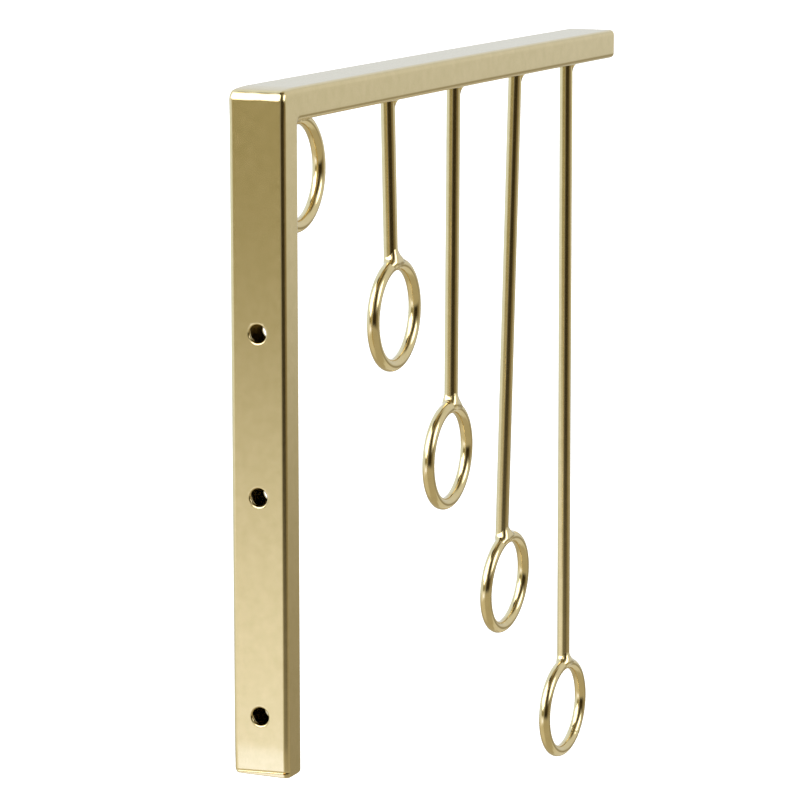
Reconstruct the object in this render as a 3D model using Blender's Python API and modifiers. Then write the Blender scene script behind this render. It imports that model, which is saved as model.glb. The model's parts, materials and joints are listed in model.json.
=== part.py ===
"""Welded wall bracket: a post, an arm and five rings in a falling row.

The post and arm are rectangular tube, mitred and welded into a corner. Ring 1 is
welded under the arm beside the post. Rings 2 to 5 hang from the arm on round rods,
each one longer than the last. Poles or rails pass through the rings along X.

Frame, in metres: +Z is up, the plane Y = 0 is the post's wall face, and the arm
runs along +Y. The origin is on the wall face, in the middle of the post's height.
Neighbouring pieces keep a gap of GAP, which stands for the weld between them.
"""

import math
from typing import NamedTuple

import bmesh
import bpy
from mathutils import Vector

MM = 0.001

# Tube of the post and the arm
TUBE_WIDTH = 20.0 * MM      # along X
TUBE_DEPTH = 11.0 * MM      # the post's size along Y and the arm's along Z
TUBE_WALL = 1.2 * MM
TUBE_CORNER = 2.0 * MM      # outside radius
CORNER_STEPS = 5
POST_HEIGHT = 225.0 * MM
ARM_REACH = 300.0 * MM      # from the wall face to the arm's tip
CAP_THICKNESS = 1.5 * MM
CORNER_WELD_WIDTH = 0.6 * MM
GAP = 0.3 * MM

# Screw holes, straight through both walls of the post
SCREW_HOLE_RADIUS = 3.05 * MM
SCREW_HOLE_HEIGHTS = (20.0 * MM, 93.0 * MM, 146.5 * MM)     # above the post's foot

# Rods and rings
ROD_RADIUS = 2.5 * MM
WIRE_RADIUS = 2.25 * MM
RING_RADIUS = 17.75 * MM    # centre line, for a ring of 40 mm outside and 31 mm inside
RING_OUTSIDE = RING_RADIUS + WIRE_RADIUS
LEAN_HEADING = math.radians(25.0)   # from +X towards +Y, the way a lean above 0 goes
ROUND_STEPS = 24
RING_STEPS = 40
WIRE_STEPS = 12
BEAD_STEPS = 16

# Weld beads
TOP_WELD_RADIUS = 4.6 * MM
TOP_WELD_HEIGHT = 2.2 * MM
RING_WELD_RADIUS = 4.0 * MM
RING_WELD_RISE = 2.6 * MM   # up the rod from its end
RING_WELD_FALL = 2.0 * MM   # down beside the ring's wire
WELD_LIP = 0.3 * MM         # thickness of a bead's feathered edge
FLARE_STEPS = 3
ARM_BEAD_SIZE = Vector((1.5, 6.0, 1.1)) * MM    # half sizes of the beads at ring 1

FOOT_Z = -POST_HEIGHT / 2
TOP_Z = POST_HEIGHT / 2
UNDERSIDE_Z = TOP_Z - TUBE_DEPTH


class Hanger(NamedTuple):
    """One rod and its ring, as they sit after welding by hand."""

    number: int         # of its ring, counted from the wall
    station: float      # of the rod at the arm, from the wall face
    drop: float         # from the arm's underside to the ring's centre
    lean: float         # degrees off vertical
    shift: float        # of the ring's centre along Y from the rod's axis
    turn: float         # degrees of the ring about Z
    tilt: float         # degrees of the ring's top towards +X


HANGERS = (
    Hanger(2, 102.5 * MM, 76.0 * MM, 1.1, 1.9 * MM, 0.0, 1.0),
    Hanger(3, 160.5 * MM, 135.5 * MM, -0.3, -2.7 * MM, 0.0, 1.5),
    Hanger(4, 219.5 * MM, 197.0 * MM, -1.3, 4.4 * MM, -1.5, 3.5),
    Hanger(5, 272.5 * MM, 259.0 * MM, 0.2, -0.4 * MM, -2.5, 1.0),
)

# Ring 1 touches the post's front, and its wire is flattened against the arm
RING_1_CENTRE = Vector((-1.0 * MM, TUBE_DEPTH + GAP + RING_OUTSIDE, UNDERSIDE_Z - 18.75 * MM))


def clear_scene():
    for item in list(bpy.data.objects):
        bpy.data.objects.remove(item, do_unlink=True)


def new_collection(name):
    collection = bpy.data.collections.new(name)
    bpy.context.scene.collection.children.link(collection)
    return collection


def move_to(item, collection):
    for owner in list(item.users_collection):
        owner.objects.unlink(item)
    collection.objects.link(item)


def brass(name, colour, roughness):
    material = bpy.data.materials.new(name)
    material.use_nodes = True
    shader = material.node_tree.nodes["Principled BSDF"]
    shader.inputs["Base Color"].default_value = (*colour, 1.0)
    shader.inputs["Metallic"].default_value = 1.0
    shader.inputs["Roughness"].default_value = roughness
    return material


def add_part(item, name, material):
    item.name = name
    item.data.name = name
    item.data.materials.clear()
    item.data.materials.append(material)
    move_to(item, PARTS)
    return item


def add_cutter(item, name):
    item.name = name
    item.hide_render = True
    item.display_type = "WIRE"
    move_to(item, CUTTERS)
    return item


def combine(item, cutter, operation="DIFFERENCE"):
    modifier = item.modifiers.new(cutter.name, "BOOLEAN")
    modifier.operation = operation
    modifier.object = cutter
    modifier.solver = "EXACT"


def rounded_rectangle(width, depth, radius):
    """Corner arcs of a rectangle centred on the origin, anticlockwise."""
    points = []
    for corner in range(4):
        middle = math.radians(45.0 + 90.0 * corner)
        x = math.copysign(width / 2 - radius, math.cos(middle))
        y = math.copysign(depth / 2 - radius, math.sin(middle))
        for step in range(CORNER_STEPS + 1):
            angle = math.radians(90.0 * corner + 90.0 * step / CORNER_STEPS)
            points.append((x + radius * math.cos(angle), y + radius * math.sin(angle)))
    return points


def extruded(outlines, length):
    """A mesh object: flat outlines filled and extruded by length about Z = 0."""
    curve = bpy.data.curves.new("outline", "CURVE")
    curve.dimensions = "2D"
    curve.fill_mode = "BOTH"
    curve.extrude = length / 2
    for points in outlines:
        spline = curve.splines.new("POLY")
        spline.points.add(len(points) - 1)
        for point, (x, y) in zip(spline.points, points):
            point.co = (x, y, 0.0, 1.0)
        spline.use_cyclic_u = True
    item = bpy.data.objects.new("outline", curve)
    bpy.context.scene.collection.objects.link(item)
    return as_mesh(item)


def as_mesh(curve_item):
    """Replace a curve object by a welded mesh object in the same place."""
    bpy.context.view_layer.update()
    evaluated = curve_item.evaluated_get(bpy.context.evaluated_depsgraph_get())
    mesh = bpy.data.meshes.new_from_object(evaluated)
    form = bmesh.new()
    form.from_mesh(mesh)
    bmesh.ops.remove_doubles(form, verts=form.verts, dist=0.001 * MM)
    bmesh.ops.recalc_face_normals(form, faces=form.faces)
    form.to_mesh(mesh)
    form.free()
    item = bpy.data.objects.new("mesh", mesh)
    bpy.context.scene.collection.objects.link(item)
    item.matrix_world = curve_item.matrix_world.copy()
    bpy.data.objects.remove(curve_item, do_unlink=True)
    return item


def outer_outline():
    return rounded_rectangle(TUBE_WIDTH, TUBE_DEPTH, TUBE_CORNER)


def tube(length):
    inner = rounded_rectangle(
        TUBE_WIDTH - 2 * TUBE_WALL,
        TUBE_DEPTH - 2 * TUBE_WALL,
        TUBE_CORNER - TUBE_WALL,
    )
    return extruded((outer_outline(), inner), length)


def slab_cutter(name, low, high):
    """A block between two planes parallel to the mitre, at low and high from it.

    The mitre plane holds the corner's outer edge and its inner edge, and distances
    from it are positive towards the arm.
    """
    size = 60.0 * MM
    bpy.ops.mesh.primitive_cube_add(size=size)
    item = bpy.context.object
    for vertex in item.data.vertices:
        vertex.co.z *= (high - low) / size
    normal = Vector((0.0, 1.0, 1.0)).normalized()
    item.rotation_euler = (math.radians(-45.0), 0.0, 0.0)
    item.location = Vector((0.0, 0.0, TOP_Z)) + normal * (low + high) / 2
    return add_cutter(item, name)


def hole_cutter(name, height):
    bpy.ops.mesh.primitive_cylinder_add(
        vertices=ROUND_STEPS,
        radius=SCREW_HOLE_RADIUS,
        depth=3 * TUBE_DEPTH,
        location=(0.0, TUBE_DEPTH / 2, FOOT_Z + height),
        rotation=(math.radians(90.0), 0.0, 0.0),
    )
    return add_cutter(bpy.context.object, name)


def make_post():
    start = FOOT_Z + CAP_THICKNESS + GAP
    post = tube(TOP_Z - start)
    post.location = (0.0, TUBE_DEPTH / 2, (TOP_Z + start) / 2)
    add_part(post, "wall_post", TUBE_BRASS)
    margin = CORNER_WELD_WIDTH / 2 + GAP
    combine(post, slab_cutter("post_mitre_cutter", -margin, 30.0 * MM))
    for number, height in enumerate(SCREW_HOLE_HEIGHTS, start=1):
        combine(post, hole_cutter(f"screw_hole_cutter_{number}", height))


def make_arm():
    end = ARM_REACH - CAP_THICKNESS - GAP
    arm = tube(end)
    arm.rotation_euler = (math.radians(-90.0), 0.0, 0.0)
    arm.location = (0.0, end / 2, TOP_Z - TUBE_DEPTH / 2)
    add_part(arm, "arm", TUBE_BRASS)
    margin = CORNER_WELD_WIDTH / 2 + GAP
    combine(arm, slab_cutter("arm_mitre_cutter", -30.0 * MM, margin))


def make_corner_weld():
    """The fused strip round the mitre, ground level with both tubes."""
    height = 3 * TUBE_DEPTH
    weld = tube(height)
    weld.location = (0.0, TUBE_DEPTH / 2, TOP_Z - height / 2)
    add_part(weld, "corner_weld", WELD_BRASS)
    half = CORNER_WELD_WIDTH / 2
    combine(weld, slab_cutter("corner_weld_slab", -half, half), "INTERSECT")


def make_end_caps():
    post_cap = extruded((outer_outline(),), CAP_THICKNESS)
    post_cap.location = (0.0, TUBE_DEPTH / 2, FOOT_Z + CAP_THICKNESS / 2)
    add_part(post_cap, "post_end_cap", TUBE_BRASS)
    arm_cap = extruded((outer_outline(),), CAP_THICKNESS)
    arm_cap.rotation_euler = (math.radians(-90.0), 0.0, 0.0)
    arm_cap.location = (0.0, ARM_REACH - CAP_THICKNESS / 2, TOP_Z - TUBE_DEPTH / 2)
    add_part(arm_cap, "arm_end_cap", TUBE_BRASS)


def rod_point(hanger, drop):
    """The point on a rod's axis at a depth below the arm's underside."""
    reach = drop * math.tan(math.radians(hanger.lean))
    x = reach * math.cos(LEAN_HEADING)
    y = hanger.station + reach * math.sin(LEAN_HEADING)
    return Vector((x, y, UNDERSIDE_Z - drop))


def rod_end_drop(hanger):
    return hanger.drop - RING_OUTSIDE - GAP


def ring_centre(hanger):
    return rod_point(hanger, hanger.drop) + Vector((0.0, hanger.shift, 0.0))


def upright(hanger):
    """Rotation that takes +Z to the rod's axis, pointing up."""
    axis = rod_point(hanger, 0.0) - rod_point(hanger, hanger.drop)
    return axis.to_track_quat("Z", "Y").to_euler()


def torus(centre, wire_radius, turn, tilt):
    bpy.ops.mesh.primitive_torus_add(
        major_segments=RING_STEPS,
        minor_segments=WIRE_STEPS,
        major_radius=RING_RADIUS,
        minor_radius=wire_radius,
        location=centre,
        rotation=(0.0, math.radians(90.0 + tilt), math.radians(turn)),
    )
    item = bpy.context.object
    item.data.shade_smooth()
    return item


def make_rod(hanger):
    top = rod_point(hanger, GAP)
    end = rod_point(hanger, rod_end_drop(hanger))
    bpy.ops.mesh.primitive_cylinder_add(
        vertices=ROUND_STEPS,
        radius=ROD_RADIUS,
        depth=(top - end).length,
        location=(top + end) / 2,
        rotation=upright(hanger),
    )
    rod = add_part(bpy.context.object, f"drop_rod_{hanger.number}", WIRE_BRASS)
    rod.data.shade_smooth()
    rod.data.set_sharp_from_angle(angle=math.radians(40.0))


def make_ring(hanger):
    ring = torus(ring_centre(hanger), WIRE_RADIUS, hanger.turn, hanger.tilt)
    add_part(ring, f"ring_{hanger.number}", WIRE_BRASS)


def turned(name, profile):
    """A closed profile in the XZ plane, turned about Z."""
    mesh = bpy.data.meshes.new(name)
    vertices = [(x, 0.0, z) for x, z in profile]
    edges = [(i, (i + 1) % len(profile)) for i in range(len(profile))]
    mesh.from_pydata(vertices, edges, [])
    item = bpy.data.objects.new(name, mesh)
    bpy.context.scene.collection.objects.link(item)
    screw = item.modifiers.new("Turn", "SCREW")
    screw.axis = "Z"
    screw.angle = math.tau
    screw.steps = ROUND_STEPS
    screw.render_steps = ROUND_STEPS
    screw.use_merge_vertices = True
    screw.merge_threshold = 0.001 * MM
    return item


def flare(inner, outer, height):
    """Points of a hollow quarter round, from (outer, 0) to (inner, height)."""
    points = []
    for step in range(FLARE_STEPS + 1):
        angle = math.radians(90.0 * step / FLARE_STEPS)
        x = outer - (outer - inner) * math.sin(angle)
        z = height * (1.0 - math.cos(angle))
        points.append((x, z))
    return points


def make_top_weld(hanger):
    """The bead where a rod meets the arm's underside."""
    bore = ROD_RADIUS + GAP
    curve = flare(bore + WELD_LIP, TOP_WELD_RADIUS, TOP_WELD_HEIGHT - WELD_LIP)
    profile = [(bore, 0.0), (TOP_WELD_RADIUS, 0.0)]
    profile += [(x, -WELD_LIP - z) for x, z in curve]
    profile.append((bore, -TOP_WELD_HEIGHT))
    weld = turned(f"rod_weld_{hanger.number}", profile)
    weld.location = rod_point(hanger, GAP)
    add_part(weld, f"rod_weld_{hanger.number}", WELD_BRASS)


def make_ring_weld(hanger):
    """The saddle where a rod's end meets the top of its ring."""
    bore = ROD_RADIUS + GAP
    curve = flare(bore + WELD_LIP, RING_WELD_RADIUS, RING_WELD_RISE)
    profile = [(bore, RING_WELD_RISE)]
    profile += reversed(curve)
    profile.append((RING_WELD_RADIUS, -RING_WELD_FALL))
    profile.append((bore, -RING_WELD_FALL))
    weld = turned(f"ring_weld_{hanger.number}", profile)
    weld.location = rod_point(hanger, rod_end_drop(hanger))
    weld.rotation_euler = upright(hanger)
    add_part(weld, f"ring_weld_{hanger.number}", WELD_BRASS)
    wire = torus(ring_centre(hanger), WIRE_RADIUS + GAP, hanger.turn, hanger.tilt)
    combine(weld, add_cutter(wire, f"ring_weld_cutter_{hanger.number}"))


def make_ring_1():
    """The ring welded straight to the arm, with a bead on each side of its wire."""
    ring = add_part(torus(RING_1_CENTRE, WIRE_RADIUS, 0.0, 0.0), "ring_1", WIRE_BRASS)
    size = 40.0 * MM
    place = RING_1_CENTRE.copy()
    place.z = UNDERSIDE_Z - GAP + size / 2
    bpy.ops.mesh.primitive_cube_add(size=size, location=place)
    arm_space = add_cutter(bpy.context.object, "arm_space_cutter")
    combine(ring, arm_space)
    wire = torus(RING_1_CENTRE, WIRE_RADIUS + GAP, 0.0, 0.0)
    wire_space = add_cutter(wire, "ring_1_weld_cutter")
    for name, side in (("ring_1_weld_left", -1.0), ("ring_1_weld_right", 1.0)):
        bpy.ops.mesh.primitive_uv_sphere_add(
            segments=BEAD_STEPS,
            ring_count=BEAD_STEPS // 2,
            radius=1.0,
        )
        bead = bpy.context.object
        for vertex in bead.data.vertices:
            vertex.co = vertex.co * ARM_BEAD_SIZE
        x = RING_1_CENTRE.x + side * (WIRE_RADIUS + GAP + ARM_BEAD_SIZE.x / 2)
        bead.location = (x, RING_1_CENTRE.y, UNDERSIDE_Z - GAP - ARM_BEAD_SIZE.z / 2)
        add_part(bead, name, WELD_BRASS)
        combine(bead, arm_space)
        combine(bead, wire_space)


clear_scene()
PARTS = new_collection("ring_bracket")
CUTTERS = new_collection("cutters")
TUBE_BRASS = brass("satin_brass_tube", (0.52, 0.42, 0.18), 0.32)
WIRE_BRASS = brass("satin_brass_wire", (0.56, 0.45, 0.20), 0.22)
WELD_BRASS = brass("satin_brass_weld", (0.50, 0.40, 0.17), 0.30)

make_post()
make_arm()
make_corner_weld()
make_end_caps()
make_ring_1()
for entry in HANGERS:
    make_rod(entry)
    make_ring(entry)
    make_top_weld(entry)
    make_ring_weld(entry)
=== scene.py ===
"""Looks of the ring bracket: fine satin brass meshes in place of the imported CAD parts.

The frame is the CAD's, in metres: +Z is up, Y = 0 is the post's wall face, and the arm
runs along +Y. The tube's outside, the rods, the rings and the heights of the screw holes
are read from the CAD nodes and the record. The rest is set here: the tube's wall and
corners, ground edges, the size of the holes, the vent, the welds, the arm's slight sag,
the materials, the camera and the light.
"""

import json
import math
from typing import NamedTuple

import bmesh
import bpy
import numpy as np
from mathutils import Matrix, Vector, noise


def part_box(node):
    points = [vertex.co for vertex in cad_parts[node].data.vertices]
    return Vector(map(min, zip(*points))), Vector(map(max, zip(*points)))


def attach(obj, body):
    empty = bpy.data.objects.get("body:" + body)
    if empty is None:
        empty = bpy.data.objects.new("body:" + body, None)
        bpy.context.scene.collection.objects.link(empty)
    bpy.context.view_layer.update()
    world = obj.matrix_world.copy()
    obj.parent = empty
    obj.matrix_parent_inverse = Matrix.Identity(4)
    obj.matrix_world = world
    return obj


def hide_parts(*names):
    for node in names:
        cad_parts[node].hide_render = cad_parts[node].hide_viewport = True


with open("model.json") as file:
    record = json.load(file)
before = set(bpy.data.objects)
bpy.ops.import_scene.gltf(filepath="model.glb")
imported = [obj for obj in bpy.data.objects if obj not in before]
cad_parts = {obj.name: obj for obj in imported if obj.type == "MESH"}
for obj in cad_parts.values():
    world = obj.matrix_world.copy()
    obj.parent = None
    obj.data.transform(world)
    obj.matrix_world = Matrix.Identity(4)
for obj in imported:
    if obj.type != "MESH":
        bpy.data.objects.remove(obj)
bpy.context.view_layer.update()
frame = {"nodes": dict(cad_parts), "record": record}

MM = 0.001

# Read from the CAD
HALF_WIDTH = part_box("wall_post")[1].x
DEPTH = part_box("wall_post")[1].y
FOOT_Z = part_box("post_end_cap")[0].z
POST_START_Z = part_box("post_end_cap")[1].z
TOP_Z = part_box("arm")[1].z
UNDERSIDE_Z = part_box("arm")[0].z
ARM_END_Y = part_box("arm_end_cap")[0].y
TIP_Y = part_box("arm_end_cap")[1].y

# Camera, at the photograph's viewing angle
VIEW_AZIMUTH = math.radians(23.85)
VIEW_ELEVATION = math.radians(10.25)
VIEW_DISTANCE = 1.2057
VIEW_TARGET = Vector((0.0, 0.1130, -0.0061))
VIEW_LENS = 154.3           # in mm, as is the sensor
SENSOR_WIDTH = 36.0
CLIP_START, CLIP_END = 0.05, 50.0

# Tube
TUBE_CORNER = 2.0 * MM
TUBE_WALL = 1.2 * MM
ARC_STEPS = 10
FLAT_STEPS = 12             # across the wide sides of a section
SIDE_STEPS = 8              # across its narrow sides
STATION_STEP = 1.5 * MM     # between sections along the tube
INNER_FILLET = 0.8 * MM     # in the inner corner of the bend
ARM_DROOP = 0.75 * MM       # the arm's sag at TIP_Y past the bend, just beyond its tip
# The ground outer corner, from the post's face up: (tilt reached in degrees, radius)
GROUND_ARCS = (
    (31.0, 3.9 * MM),
    (48.0, 3.6 * MM),
    (80.0, 2.1 * MM),
    (84.5, 20.0 * MM),
    (90.0, 81.0 * MM),
)
GROUND_STEP = 0.3 * MM

# Relief of the ground and plated surface: depths, and the sizes of its features
BROAD_WAVE, BROAD_SIZE = 0.006 * MM, 11.0 * MM
FINE_WAVE, FINE_SIZE = 0.0020 * MM, 3.5 * MM
MITRE_MARK, MITRE_SIZE, MITRE_WIDTH = 0.022 * MM, 1.3 * MM, 1.6 * MM
CORNER_MARK = 0.09 * MM
CORNER_SIZE_X, CORNER_SIZE_Z = 4.2 * MM, 3.0 * MM
CORNER_PHASE = 7.3          # the slice of the noise that the corner's hollows are taken from
CORNER_DROP, CORNER_HEIGHT = 3.0 * MM, 2.6 * MM
CORNER_DEPTH = 3.0 * MM     # how far the corner's relief reaches along Y
SWELL = 0.09 * MM
SWELL_X, SWELL_WIDTH = 1.5 * MM, 2.4 * MM
SWELL_DROP, SWELL_HEIGHT = 2.5 * MM, 1.3 * MM

# Foot of the post
SEAM_DEPTH = 0.11 * MM
SEAM_WIDTH = 0.26 * MM
SEAM_HEIGHT = 1.42 * MM     # above the foot, in the middle of the face
SEAM_SLOPE = 0.0475
SEAM_CLEAR = 5              # seam widths over which the sections stay close together
SEAM_SPLIT = 3              # sections in each seam width
TAPER_HEIGHT = 11.0 * MM
TAPER_BLEND = 4.5 * MM
TAPER_SLOPE = 0.038
FOOT_EDGE = 0.30 * MM       # rounding of its edge at the wall face
FOOT_EDGE_LEFT = 1.20 * MM  # and how much more at the left (-X) and the room side
FOOT_EDGE_ROOM = 0.90 * MM
FOOT_LEFT_SHARE = 0.25      # of the half width, over which the left edge's rounding grows
FOOT_EDGE_REACH = 3.0 * MM  # from the room side, over which its rounding fades

# End plates
EDGE_STEPS = 10
DOME_STEPS = 6
PLATE_SHARE = 0.08          # of the plate's side, between its sections
TIP_EDGE = 1.4 * MM
TIP_DOME = 0.4 * MM

# Holes
HOLE_STEPS = 64
RIM_STEPS = 8
CUT_MARGIN = 0.5 * MM
SCREW_HOLE_RADIUS = 2.93 * MM
SCREW_HOLE_RIM = 0.7 * MM
VENT_RADIUS = 0.42 * MM
VENT_RIM = 0.15 * MM
VENT_DEPTH = 2.0 * MM
VENT_X = 8.5 * MM
VENT_HEIGHT = 1.5 * MM      # above the foot
RIM_SHADE_BANDS = 2          # innermost bands of a rim, painted near black like the bore: painted shade
VENT_SHADE_BANDS = 2              # innermost bands of the vent, painted near black: painted shade
SLIVER = 0.0005 * MM        # points nearer than this are one point

# Rods and rings
HANGERS = (2, 3, 4, 5)      # the rings that hang on rods
ROD_EMBED = 0.5 * MM        # how far a rod runs on above its CAD top
ROD_OVERRUN = 1.5 * MM      # and below its CAD end
ROD_STEP = 2.0 * MM
ROD_WAVE, ROD_WAVE_SIZE = 0.004, 14.0 * MM      # a share of the rod's radius
WIRE_STEPS = 48
RING_STEPS = 240
RING_1_GAP = 0.02 * MM      # left between ring 1 and the arm's underside
# Where each ring's wire is butt welded, in degrees from +Y towards +Z
RING_SEAMS = {1: 90.0, 2: 90.0, 3: 90.0, 4: 90.0, 5: 311.0}
SWELLING, SWELLING_WIDTH = 0.035, math.radians(4.5)     # shares of the wire's radius
GROOVE, GROOVE_WIDTH = 0.06, math.radians(1.3)

# Welds
NET_STEP = 0.3 * MM
SLOPE_STEP = 0.01 * MM
WELD_SINK = 0.06 * MM
WELD_FEATHER = 0.08 * MM    # metal thinner than this sinks below the shapes it joins
WELD_PASSES = 4
RIPPLE, RIPPLE_SIZE = 0.018 * MM, 1.1 * MM
LEAST_SLOPE = 0.2           # keeps a step to the surface finite
LEAST_REACH = 0.1 * MM      # keeps a direction from the joint's axis finite
LEAST_FILLET = 0.2 * MM
LOBE_POWER = 3
WIRE_SHARE = 0.5            # of the full fillet, above the wire's centre line
WIRE_GAIN = 0.6             # and what each wire radius further out adds to it
RING_FILLET = 1.3 * MM
RING_JOINT_REACH = 9.0 * MM
ROD_END_RISE = 1.0 * MM     # from the wire's centre line to the middle of the rod's end
ARM_FILLET = 0.6 * MM
ARM_JOINT_REACH = 6.0 * MM
BEAD_FILLET = 2.4 * MM
BEAD_REACH = 7.5 * MM

# Angles up to which neighbouring faces are shaded as one, in degrees
TUBE_SMOOTH = 35.0
ROD_SMOOTH = 40.0
WELD_SMOOTH = 50.0
RING_SMOOTH = 60.0

# Materials
COAT_WEIGHT = 0.6
COAT_ROUGHNESS = 0.12
BRASS_DEEP = (0.80, 0.655, 0.345)
BRASS_PALE = (0.85, 0.695, 0.385)
ROUGHNESS_SPREAD = 0.03
GRAIN_GAIN = 2.0
GRAIN_DETAIL, GRAIN_ROUGHNESS = 3.0, 0.6
MOTTLE_SIZE, MOTTLE_DETAIL = 4 * MM, 2.0
STEEL_METALLIC = 0.6
STEEL_ROUGHNESS = (0.6, 0.85)
# Tone of the tube's inside: bare steel painted near black, as painted shade of the hollow
STEEL_PAINTED_SHADE_DARK = (0.010, 0.009, 0.008)
STEEL_PAINTED_SHADE_LIGHT = (0.030, 0.026, 0.022)
STEEL_SCALE_SIZE, STEEL_SCALE_DETAIL = 1.5 * MM, 4.0
STEEL_SCALE_DEPTH = 0.05 * MM
NOISE_RANGE = (0.3, 0.7)    # the part of a noise value's range that is used

# Floor
FLOOR_Z = -0.30
FLOOR_HALF = 15.0
FLOOR_SHADE = 0.85
FLOOR_ROUGHNESS = 0.9
FLOOR_GLOW = 0.6


class Station(NamedTuple):
    """A section of the tube: its plane holds X and the direction out."""

    anchor: Vector
    out: Vector
    near: float         # from the anchor to the section's inner side, along out
    far: float          # and to its outer side
    hollow_near: float
    hollow_far: float


def new_object(name, vertices, faces, inside=()):
    """A mesh object from points and faces; the faces in inside take material slot 1."""
    mesh = bpy.data.meshes.new(name)
    mesh.from_pydata([tuple(v) for v in vertices], [], faces)
    for index in inside:
        mesh.polygons[index].material_index = 1
    mesh.update()
    item = bpy.data.objects.new(name, mesh)
    bpy.context.scene.collection.objects.link(item)
    return item


def face_outwards(item):
    """Turn every face of a closed mesh to look outwards."""
    form = bmesh.new()
    form.from_mesh(item.data)
    bmesh.ops.recalc_face_normals(form, faces=form.faces)
    form.to_mesh(item.data)
    form.free()


def section_outline(half, near, far, radius):
    """Points (across, out) round a rounded rectangle, and their outward directions."""
    corners = ((1, far, 0), (-1, far, 90), (-1, near, 180), (1, near, 270))
    sides = (FLAT_STEPS, SIDE_STEPS, FLAT_STEPS, SIDE_STEPS)
    points, normals = [], []

    def corner_centre(side, edge):
        inwards = math.copysign(radius, edge - (near + far) / 2)
        return np.array((side * (half - radius), edge - inwards))

    for number, (side, edge, start) in enumerate(corners):
        centre = corner_centre(side, edge)
        for step in range(ARC_STEPS + 1):
            angle = math.radians(start + 90.0 * step / ARC_STEPS)
            direction = np.array((math.cos(angle), math.sin(angle)))
            points.append(centre + radius * direction)
            normals.append(direction)
        following = corners[(number + 1) % 4]
        after = corner_centre(following[0], following[1])
        last = points[-1]
        first = after + radius * normals[-1]
        for step in range(1, sides[number]):
            points.append(last + (first - last) * step / sides[number])
            normals.append(normals[-1])
    return points, normals


def station_ring(station, hollow=False):
    """The section's points in space, with their outward directions."""
    inset = TUBE_WALL if hollow else 0.0
    near = station.hollow_near if hollow else station.near
    far = station.hollow_far if hollow else station.far
    outline, normals = section_outline(HALF_WIDTH - inset, near, far, TUBE_CORNER - inset)
    across = Vector((1.0, 0.0, 0.0))
    ring = [station.anchor + across * a + station.out * b for a, b in outline]
    directions = [across * a + station.out * b for a, b in normals]
    return ring, directions


def straight(anchor, out):
    """A section of the straight tube."""
    return Station(anchor, out, 0.0, DEPTH, TUBE_WALL, DEPTH - TUBE_WALL)


def spaced(start, end, step):
    """Numbers from start to end, both included, about a step apart."""
    count = max(1, round(abs(end - start) / step))
    return [start + (end - start) * i / count for i in range(count + 1)]


def post_stations():
    """Sections up the post, close together at the seam with its foot plate."""
    top = UNDERSIDE_Z - INNER_FILLET
    out = Vector((0.0, -1.0, 0.0))
    clear = POST_START_Z + SEAM_CLEAR * SEAM_WIDTH
    heights = spaced(POST_START_Z, clear, SEAM_WIDTH / SEAM_SPLIT)[:-1]
    heights += spaced(clear, top, STATION_STEP)
    return [straight(Vector((0.0, DEPTH, z)), out) for z in heights]


def arm_droop(y):
    """How far the arm has sagged below its straight line, y along it."""
    share = max(0.0, y - DEPTH - INNER_FILLET) / TIP_Y
    return ARM_DROOP * share * share


def arm_stations():
    start = DEPTH + INNER_FILLET
    out = Vector((0.0, 0.0, 1.0))
    return [straight(Vector((0.0, y, UNDERSIDE_Z - arm_droop(y))), out)
            for y in spaced(start, ARM_END_Y, STATION_STEP)]


def ground_corner():
    """Points (run, rise) of the ground outer corner, from the post's face to the arm's top."""
    run = rise = tilt = 0.0
    points = [(run, rise)]
    for reached, radius in GROUND_ARCS:
        reached = math.radians(reached)
        steps = max(3, math.ceil(radius * (reached - tilt) / GROUND_STEP))
        centre = (run + radius * math.cos(tilt), rise - radius * math.sin(tilt))
        for step in range(1, steps + 1):
            angle = tilt + (reached - tilt) * step / steps
            run = centre[0] - radius * math.cos(angle)
            rise = centre[1] + radius * math.sin(angle)
            points.append((run, rise))
        tilt = reached
    return points


def bend_outline():
    """Outer points (y, z) of the bend, from the post's face over the corner to the arm's top."""
    corner = ground_corner()
    start = TOP_Z - corner[-1][1]
    points = [(0.0, z) for z in spaced(UNDERSIDE_Z - INNER_FILLET, start, STATION_STEP)[:-1]]
    points += [(run, start + rise) for run, rise in corner]
    points += [(y, TOP_Z) for y in spaced(corner[-1][0], DEPTH + INNER_FILLET, STATION_STEP)[1:]]
    return points


def bend_stations():
    """Sections fanned round the inner corner, from the post's last to the arm's first."""
    pivot = Vector((0.0, DEPTH + INNER_FILLET, UNDERSIDE_Z - INNER_FILLET))
    stations = []
    for y, z in bend_outline():
        reach = Vector((0.0, y, z)) - pivot
        out = reach.normalized()
        hollow_far = (DEPTH + INNER_FILLET - TUBE_WALL) / max(abs(out.y), abs(out.z))
        hollow_far = min(hollow_far, reach.length - TUBE_WALL)
        near = INNER_FILLET
        stations.append(Station(pivot, out, near, reach.length, near + TUBE_WALL, hollow_far))
    return stations


def mitre_index(stations):
    """The station of the bend that is nearest the mitre plane."""
    return min(range(len(stations)), key=lambda i: abs(stations[i].out.y + stations[i].out.z))


def bridge(first, second, count):
    """Quads between two closed rings of count points that start at those indices."""
    faces = []
    for i in range(count):
        j = (i + 1) % count
        faces.append((first + i, second + i, second + j, first + j))
    return faces


def bell(distance, width):
    """1 at no distance, falling smoothly to nothing over a few widths."""
    return math.exp(-(distance / width) ** 2)


def foot_taper(height):
    """How far the ground foot's wall side stands back at a height above its end."""
    below = max(0.0, TAPER_HEIGHT - height)
    if below < TAPER_BLEND:
        return TAPER_SLOPE * below * below / (2.0 * TAPER_BLEND)
    return TAPER_SLOPE * (below - TAPER_BLEND / 2.0)


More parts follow.
